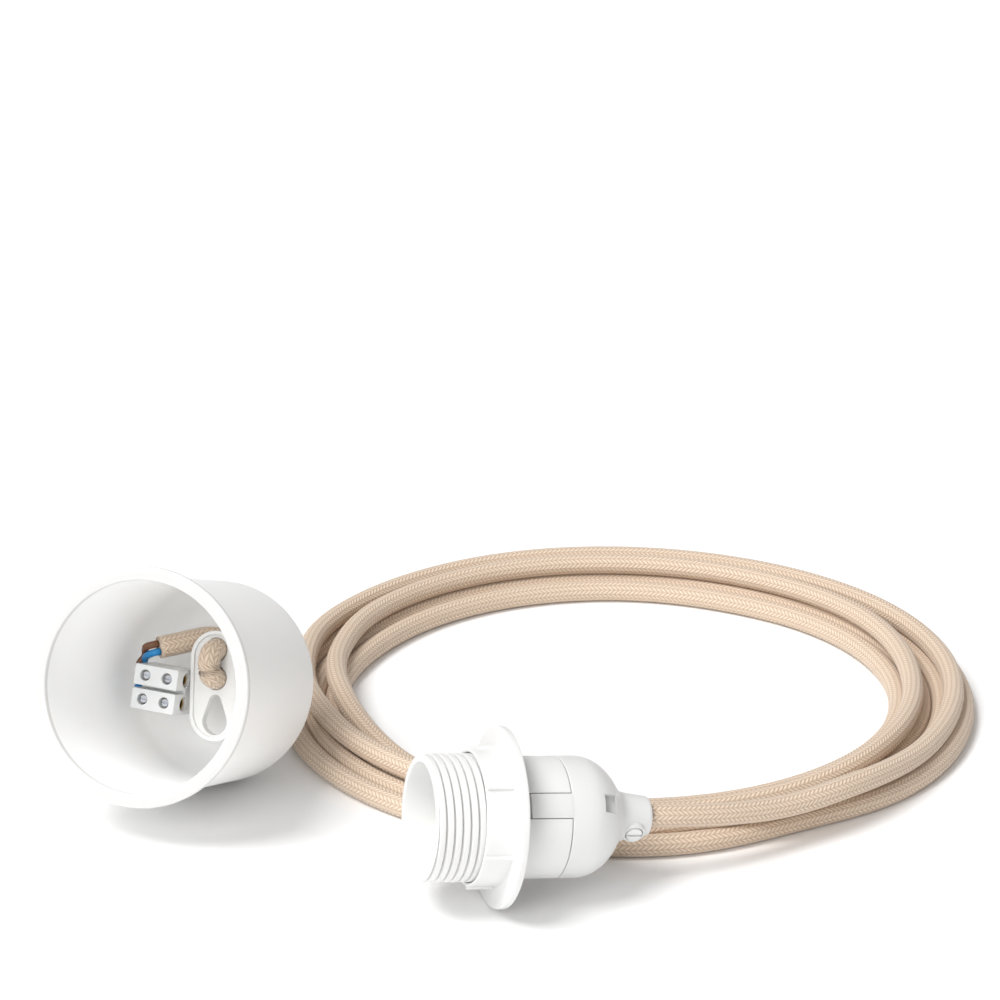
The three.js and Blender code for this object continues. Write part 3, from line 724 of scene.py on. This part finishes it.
def add_cup(white, nylon):
    inner_mouth = CUP_MOUTH_RADIUS - CUP_WALL
    inner_base = CUP_BASE_RADIUS - CUP_WALL
    inner_round = CUP_EDGE_ROUND - CUP_WALL
    lip_floor = CUP_DEPTH - CUP_LIP_THICKNESS
    profile = [
        (NECK_BORE, -CUP_NECK_LENGTH),
        (NECK_RADIUS - NECK_CHAMFER, -CUP_NECK_LENGTH),
        (NECK_RADIUS, -CUP_NECK_LENGTH + NECK_CHAMFER),
        (NECK_RADIUS, -NECK_FILLET),
        (NECK_RADIUS + NECK_FILLET, 0),
        *arc((CUP_BASE_RADIUS - CUP_EDGE_ROUND, CUP_EDGE_ROUND), CUP_EDGE_ROUND, -90, 0, 24),
        (CUP_MOUTH_RADIUS, lip_floor),
        (CUP_RIM_RADIUS - LIP_BACK_EDGE, lip_floor),
        (CUP_RIM_RADIUS - LIP_BACK_MIDDLE, lip_floor + LIP_BACK_MIDDLE),
        (CUP_RIM_RADIUS, lip_floor + LIP_BACK_EDGE),
        (CUP_RIM_RADIUS, CUP_DEPTH - LIP_EDGE),
        (CUP_RIM_RADIUS - LIP_EDGE_MIDDLE, CUP_DEPTH - LIP_EDGE_MIDDLE),
        (CUP_RIM_RADIUS - LIP_EDGE, CUP_DEPTH),
        (inner_mouth + LIP_EDGE, CUP_DEPTH),
        (inner_mouth + LIP_EDGE_MIDDLE, CUP_DEPTH - LIP_EDGE_MIDDLE),
        (inner_mouth, CUP_DEPTH - LIP_EDGE),
        *arc((inner_base - inner_round, CUP_BASE_THICKNESS + inner_round), inner_round, 0, -90, 20),
        (NECK_BORE, CUP_BASE_THICKNESS),
    ]
    cup = turned("ceiling_cup_shell", profile, CUP, 192)
    cup = smooth(with_boss(cup, CUP, CUP_GRIP_HEIGHT, 0))
    dress(cup, "set", white, "white_plastic", "ceiling_cup")
    screw = grip_screw("cup_grip_screw_nylon", CUP, CUP_GRIP_HEIGHT, 0)
    dress(screw, "set", nylon, "nylon", "cup_grip_screw")


# Lampholder

def thread_rise(height, angle):
    """How far the skirt stands out of its root at a height and a turn, with faded ends."""
    last = MOUTH_HEIGHT - THREAD_END_GAP
    crest = THREAD_START + THREAD_PITCH * angle / (2 * math.pi)
    offset = (height - crest) / THREAD_PITCH
    nearest = round(offset)
    turns = nearest + angle / (2 * math.pi)
    total = (last - THREAD_START) / THREAD_PITCH
    if turns < 0 or turns > total:
        return 0
    fade = min(1, THREAD_FADES * turns, THREAD_FADES * (total - turns))
    flank = abs(offset - nearest)
    slope = max(0, min(1, (THREAD_FOOT - flank) / (THREAD_FOOT - THREAD_CREST)))
    eased = slope * slope * (3 - 2 * slope)
    return THREAD_DEPTH * fade * eased


def add_skirt(white):
    rows_per_mm = 9
    segments = 180
    count = int(MOUTH_HEIGHT * rows_per_mm)
    heights = [MOUTH_HEIGHT * j / count for j in range(count + 1)]
    points = []
    for i in range(segments):
        angle = 2 * math.pi * i / segments
        ring = []
        for height in heights:
            rim_share = max(0, min(1, (height - MOUTH_HEIGHT + RIM_BAND) / RIM_SLOPE))
            rim = (RIM_RADIUS - SKIRT_ROOT) * rim_share
            edge = max(0, height - (MOUTH_HEIGHT - MOUTH_EDGE))
            radius = SKIRT_ROOT + max(thread_rise(height, angle), rim) - edge
            ring.append((radius, height))
        ring.append((SKIRT_BORE + EDGE_ROUND, MOUTH_HEIGHT))
        ring.append((SKIRT_BORE + EDGE_STEP, MOUTH_HEIGHT - EDGE_STEP))
        ring += [(SKIRT_BORE, MOUTH_HEIGHT - EDGE_ROUND), (SKIRT_BORE, 0)]
        points += [(r * math.cos(angle), r * math.sin(angle), z) for r, z in ring]
    rows = len(ring)
    faces = []
    for i in range(segments):
        beside = (i + 1) % segments
        for j in range(rows):
            above = (j + 1) % rows
            faces.append((
                i * rows + j, beside * rows + j, beside * rows + above, i * rows + above,
            ))
    skirt = smooth(mesh_object("skirt_thread", points, faces, HOLDER), 50)
    dress(skirt, "set", white, "white_plastic", "threaded_skirt")
    profile = softened([
        (SKIRT_BORE, -SLEEVE_LENGTH), (SLEEVE_RADIUS, -SLEEVE_LENGTH),
        (SLEEVE_RADIUS, -HAIR_GAP), (SKIRT_BORE, -HAIR_GAP),
    ], 0.18)
    sleeve = turned("skirt_sleeve", profile, HOLDER, 160)
    tools = []
    for turn in (LATCH_TURN, LATCH_TURN + 180):
        size = (8, LATCH_WIDTH + LATCH_PLAY, SLEEVE_LENGTH)
        centre = (18, 0, LATCH_TOP + LATCH_GAP - SLEEVE_LENGTH / 2)
        tools.append(("DIFFERENCE", block("slot", size, centre, HOLDER, turn)))
    sleeve = smooth(carve(sleeve, tools))
    dress(sleeve, "set", white, "white_plastic", "threaded_skirt")
    ledge_profile = softened([
        (LEDGE_BORE, LEDGE_LOW), (SKIRT_BORE + 0.2, LEDGE_LOW),
        (SKIRT_BORE + 0.2, LEDGE_HIGH), (LEDGE_BORE, LEDGE_HIGH),
    ], 0.2)
    ledge = smooth(turned("skirt_ledge", ledge_profile, HOLDER, 128))
    dress(ledge, "set", white, "white_plastic", "threaded_skirt")


def add_ring(white):
    profile = softened([
        (RING_BORE, 0), (RING_FLANGE, 0), (RING_FLANGE, RING_FLANGE_THICKNESS),
        (RING_HUB, RING_FLANGE_THICKNESS), (RING_HUB, RING_TOP), (RING_BORE, RING_TOP),
    ], 0.4)
    ring = turned("shade_ring_body", profile, HOLDER, 192)
    tools = []
    for i in range(RING_RIBS):
        turn = RING_RIB_TURN + 360 * i / RING_RIBS
        size = (RIB_REACH, RIB_WIDTH, RING_TOP - RING_FLANGE_THICKNESS)
        centre = (RING_HUB + 0.1, 0, (RING_TOP + RING_FLANGE_THICKNESS) / 2 - 0.2)
        tools.append(("UNION", block("rib", size, centre, HOLDER, turn)))
    ring = smooth(carve(ring, tools))
    dress(ring, "shade_ring", white, "white_plastic", "shade_ring")


def add_dome(white, nylon):
    floor = DOME_OUTLINE[0][1]
    spigot = SKIRT_BORE - SEAT_GAP
    spigot_bore = spigot - DOME_WALL
    throat = [(NECK_RADIUS + out, floor + rise) for out, rise in DOME_THROAT]
    flat = [(radius, 0, height) for radius, height in throat + DOME_OUTLINE]
    shoulder = [(point.x, point.z) for point in curve_through(flat, 0.5)]
    hollow = []
    for radius, height in DOME_OUTLINE:
        hollow.append((min(spigot_bore, radius - DOME_WALL), height + DOME_WALL))
    seam = -SLEEVE_LENGTH - SEAT_GAP
    profile = [
        (NECK_BORE, HOLDER_NECK_END),
        *[(radius, HOLDER_NECK_END + rise) for radius, rise in HOLDER_NECK_TIP],
        *shoulder,
        (SLEEVE_RADIUS, seam - SEAM_EDGE),
        (SLEEVE_RADIUS - SEAM_EDGE, seam),
        (spigot, seam),
        (spigot, SPIGOT_TOP),
        (spigot_bore, SPIGOT_TOP),
        *reversed(hollow),
        (NECK_BORE, floor + DOME_WALL),
    ]
    dome = turned("dome_shell", profile, HOLDER, 160)
    tools = []
    for turn in (LATCH_TURN, LATCH_TURN + 180):
        window = block("window", WINDOW_SIZE, WINDOW_PLACE, HOLDER, turn + WINDOW_TURN - LATCH_TURN)
        tools.append(("DIFFERENCE", window))
    dome = carve(dome, tools)
    dome = smooth(with_boss(dome, HOLDER, HOLDER_GRIP_HEIGHT, HOLDER_GRIP_TURN))
    dress(dome, "set", white, "white_plastic", "dome_cap")
    pad = (3, 8, 7)
    behind = (WINDOW_FLOOR - pad[0] / 2, 0, WINDOW_PLACE[2])
    for count, turn in enumerate((LATCH_TURN, LATCH_TURN + 180)):
        window_turn = turn + WINDOW_TURN - LATCH_TURN
        backing = block(f"window_floor_{count + 1}", pad, behind, HOLDER, window_turn)
        dress(backing, "set", white, "white_plastic", "dome_cap")
        tongue = turned(f"latch_tongue_{count + 1}", softened([
            (SKIRT_BORE - 1, seam - SEAT_GAP), (SLEEVE_RADIUS - HAIR_GAP, seam - SEAT_GAP),
            (SLEEVE_RADIUS - HAIR_GAP, LATCH_TOP), (SKIRT_BORE - 1, LATCH_TOP),
        ], 0.2), HOLDER, 160)
        slab = block("slab", (8, LATCH_WIDTH, 30), (19, 0, -14), HOLDER, turn)
        tongue = smooth(carve(tongue, [("INTERSECT", slab)]))
        dress(tongue, "set", white, "white_plastic", "dome_cap")
    screw = grip_screw("holder_grip_screw_nylon", HOLDER, HOLDER_GRIP_HEIGHT, HOLDER_GRIP_TURN)
    dress(screw, "set", nylon, "nylon", "holder_grip_screw")


INSERT_OUTLINE = [
    (14.9, -12.1), (14.9, -3), (17, -3), (17, -0.1), (15.5, -0.1), (15.5, 14.6),
    (15.2, 14.9), (13.9, 14.9), (13.6, 14.6), (13.6, -8.3),
]


def add_insert(white):
    insert = smooth(spindle("insert_cup", INSERT_OUTLINE, HOLDER, 128))
    dress(insert, "set", white, "white_plastic", "contact_insert")


cup_white = moulded("cup_white", (0.91, 0.91, 0.90), 0.5, 0.15, 0.9, 0.0035)
paint_lip_shade(cup_white)
holder_white = moulded("holder_white", (0.80, 0.80, 0.79), 0.4, 0.1, 0.3)
dome_white = moulded("dome_white", (0.76, 0.76, 0.75), 0.35, 0.1, 0.25)
nylon_white = moulded("nylon_white", (0.82, 0.82, 0.81), 0.3, 0.0, 0.4)
clear = clear_plastic()
brass = metal("brass_plain", (0.62, 0.42, 0.16), 0.3)
steel = metal("steel_zinc", (0.55, 0.57, 0.62), 0.32)
blue = moulded("blue_insulation", (0.01, 0.22, 0.52), 0.4)
brown = moulded("brown_insulation", (0.15, 0.06, 0.025), 0.45)

add_cup(cup_white, nylon_white)
add_skirt(holder_white)
add_ring(holder_white)
add_dome(dome_white, nylon_white)
add_insert(holder_white)


# Inside the cup: cord end, cores and the plate

PLATE_TURN = 6.8
PLATE_PLACE = (3, -0.8, 20)
CORD_HOLES = (2.6, 12)
CORD_TIP = (-17.8, 8.8, 24.6)
CORE_OFFSET = 1.35

# Each core's side of the cord, the height of its hole in the block, and points between
CORE_ROUTES = {
    "brown": (1, -0.6, [(-21.6, 8.6, 26.2), (-23.6, 7.4, 23.4), (-24.4, 4.6, 21.6), (-25.8, 2, 22)]),
    "blue": (-1, -8.6, [
        (-21.2, 5.8, 25), (-23.6, 4.4, 22.4), (-25.4, 1.4, 19.6), (-26, -3, 18.6), (-26.4, -6.6, 19.8),
    ]),
}


def at_plate(x, y, z):
    turn = Matrix.Rotation(math.radians(PLATE_TURN), 4, "Z")
    return Vector(PLATE_PLACE) + turn @ Vector((x, y, z))


def add_cup_cord_end(finish):
    low, high = CORD_HOLES
    middle = (low + high) / 2
    loop = (high - low) / 2
    front = 2.3
    points = [(0, 0, -8.7), (0, 0, -3), (0.2, 0.1, 4), at_plate(-1, low * 0.6, -9),
              at_plate(0, low, -3), at_plate(0, low, front)]
    for angle in (45, 90, 135):
        turn = math.radians(angle)
        points.append(at_plate(0, middle - loop * math.cos(turn), front + loop * math.sin(turn)))
    points += [at_plate(0, high, front), at_plate(0, high, -2.5), (0.6, 12.2, 12.8),
               (-2.6, 13.6, 10.6), (-6.6, 13.6, 12), (-10.8, 12, 16), (-14.2, 10.4, 20.4), CORD_TIP]
    route = [CUP @ point for point in curve_through(points, 1.2)]
    piece = tube("cup_cord_end_braid", route, CORD_DIAMETER / 2, 24)
    dress(piece, "set", finish, "beige_braid", "cup_cord_end")


def add_cores():
    tip = Vector(CORD_TIP)
    aim = Vector((-0.63, -0.28, 0.73))
    across = Vector((-0.41, 0.91, 0))
    entry = -23.2
    level = 23
    for name, (side, height, middle) in CORE_ROUTES.items():
        start = tip + aim * 0.3 + across * side * CORE_OFFSET
        last = [(entry - 1, height, level), (entry + 3, height, level)]
        points = [start, start + aim * 1.5, *middle, *last]
        route = [CUP @ point for point in curve_through(points, 0.8)]
        piece = tube(f"cup_core_{name}_sleeve", route, CORE_DIAMETER / 2, 16)
        finish = brown if name == "brown" else blue
        dress(piece, "set", finish, f"{name}_sleeve", f"cup_core_{name}")


add_cup_cord_end(textile)
add_cores()

CARRIED = {
    "hook_plate": holder_white,
    "terminal_block": clear,
    "terminal_tube_1": brass,
    "terminal_tube_2": brass,
    "terminal_screw_1": steel,
    "terminal_screw_2": steel,
    "terminal_screw_3": steel,
    "terminal_screw_4": steel,
    "centre_contact": brass,
    "side_contact": brass,
    "clamp_brown": brass,
    "clamp_blue": brass,
    "clamp_screw_brown": steel,
    "clamp_screw_blue": steel,
    "holder_core_brown": brown,
    "holder_core_blue": blue,
    "holder_cord_end": textile,
}
for name, finish in CARRIED.items():
    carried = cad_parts[name]
    carried.data.materials.clear()
    carried.data.materials.append(finish)


# Floor and studio light

FLOOR_REACH = 6
FLOOR_WHITE = (0.96, 0.96, 0.96, 1)
KEY_DIRECTION = (-0.5, -0.3, 1)
KEY_ENERGY = 2.3
KEY_SPREAD = 30
FILL_PLACE = (-0.7, -1.6, 0.9)
FILL_AIM = (0, 0, 0.03)
FILL_SIZE = 1.2
FILL_POWER = 14.5
STUDIO_WHITE = (1, 1, 1, 1)
STUDIO_STRENGTH = 0.45


def add_floor():
    mesh = bpy.data.meshes.new("studio_floor")
    corners = []
    for across, away in ((-1, -1), (1, -1), (1, 1), (-1, 1)):
        corners.append((across * FLOOR_REACH, away * FLOOR_REACH, 0))
    mesh.from_pydata(corners, [], [(0, 1, 2, 3)])
    floor = link("studio_floor", mesh)
    material, _, shader = new_material("studio_paper")
    shader.inputs["Base Color"].default_value = FLOOR_WHITE
    shader.inputs["Roughness"].default_value = 0.9
    shader.inputs["Specular IOR Level"].default_value = 0.1
    mesh.materials.append(material)


def add_key_light():
    sun = bpy.data.lights.new("key", "SUN")
    sun.energy = KEY_ENERGY
    sun.angle = math.radians(KEY_SPREAD)
    key = link("key", sun)
    key.rotation_euler = Vector(KEY_DIRECTION).to_track_quat("Z", "Y").to_euler()


def add_fill_light():
    disk = bpy.data.lights.new("fill", "AREA")
    disk.shape = "DISK"
    disk.size = FILL_SIZE
    disk.energy = FILL_POWER
    fill = link("fill", disk)
    fill.location = FILL_PLACE
    way = Vector(FILL_AIM) - Vector(FILL_PLACE)
    fill.rotation_euler = way.to_track_quat("-Z", "Y").to_euler()


def add_surroundings():
    world = bpy.data.worlds.new("studio")
    bpy.context.scene.world = world
    world.use_nodes = True
    background = world.node_tree.nodes["Background"]
    background.inputs["Color"].default_value = STUDIO_WHITE
    background.inputs["Strength"].default_value = STUDIO_STRENGTH
    bpy.context.scene.view_settings.view_transform = "Standard"
    bpy.context.scene.view_settings.look = "None"


add_floor()
add_key_light()
add_fill_light()
add_surroundings()
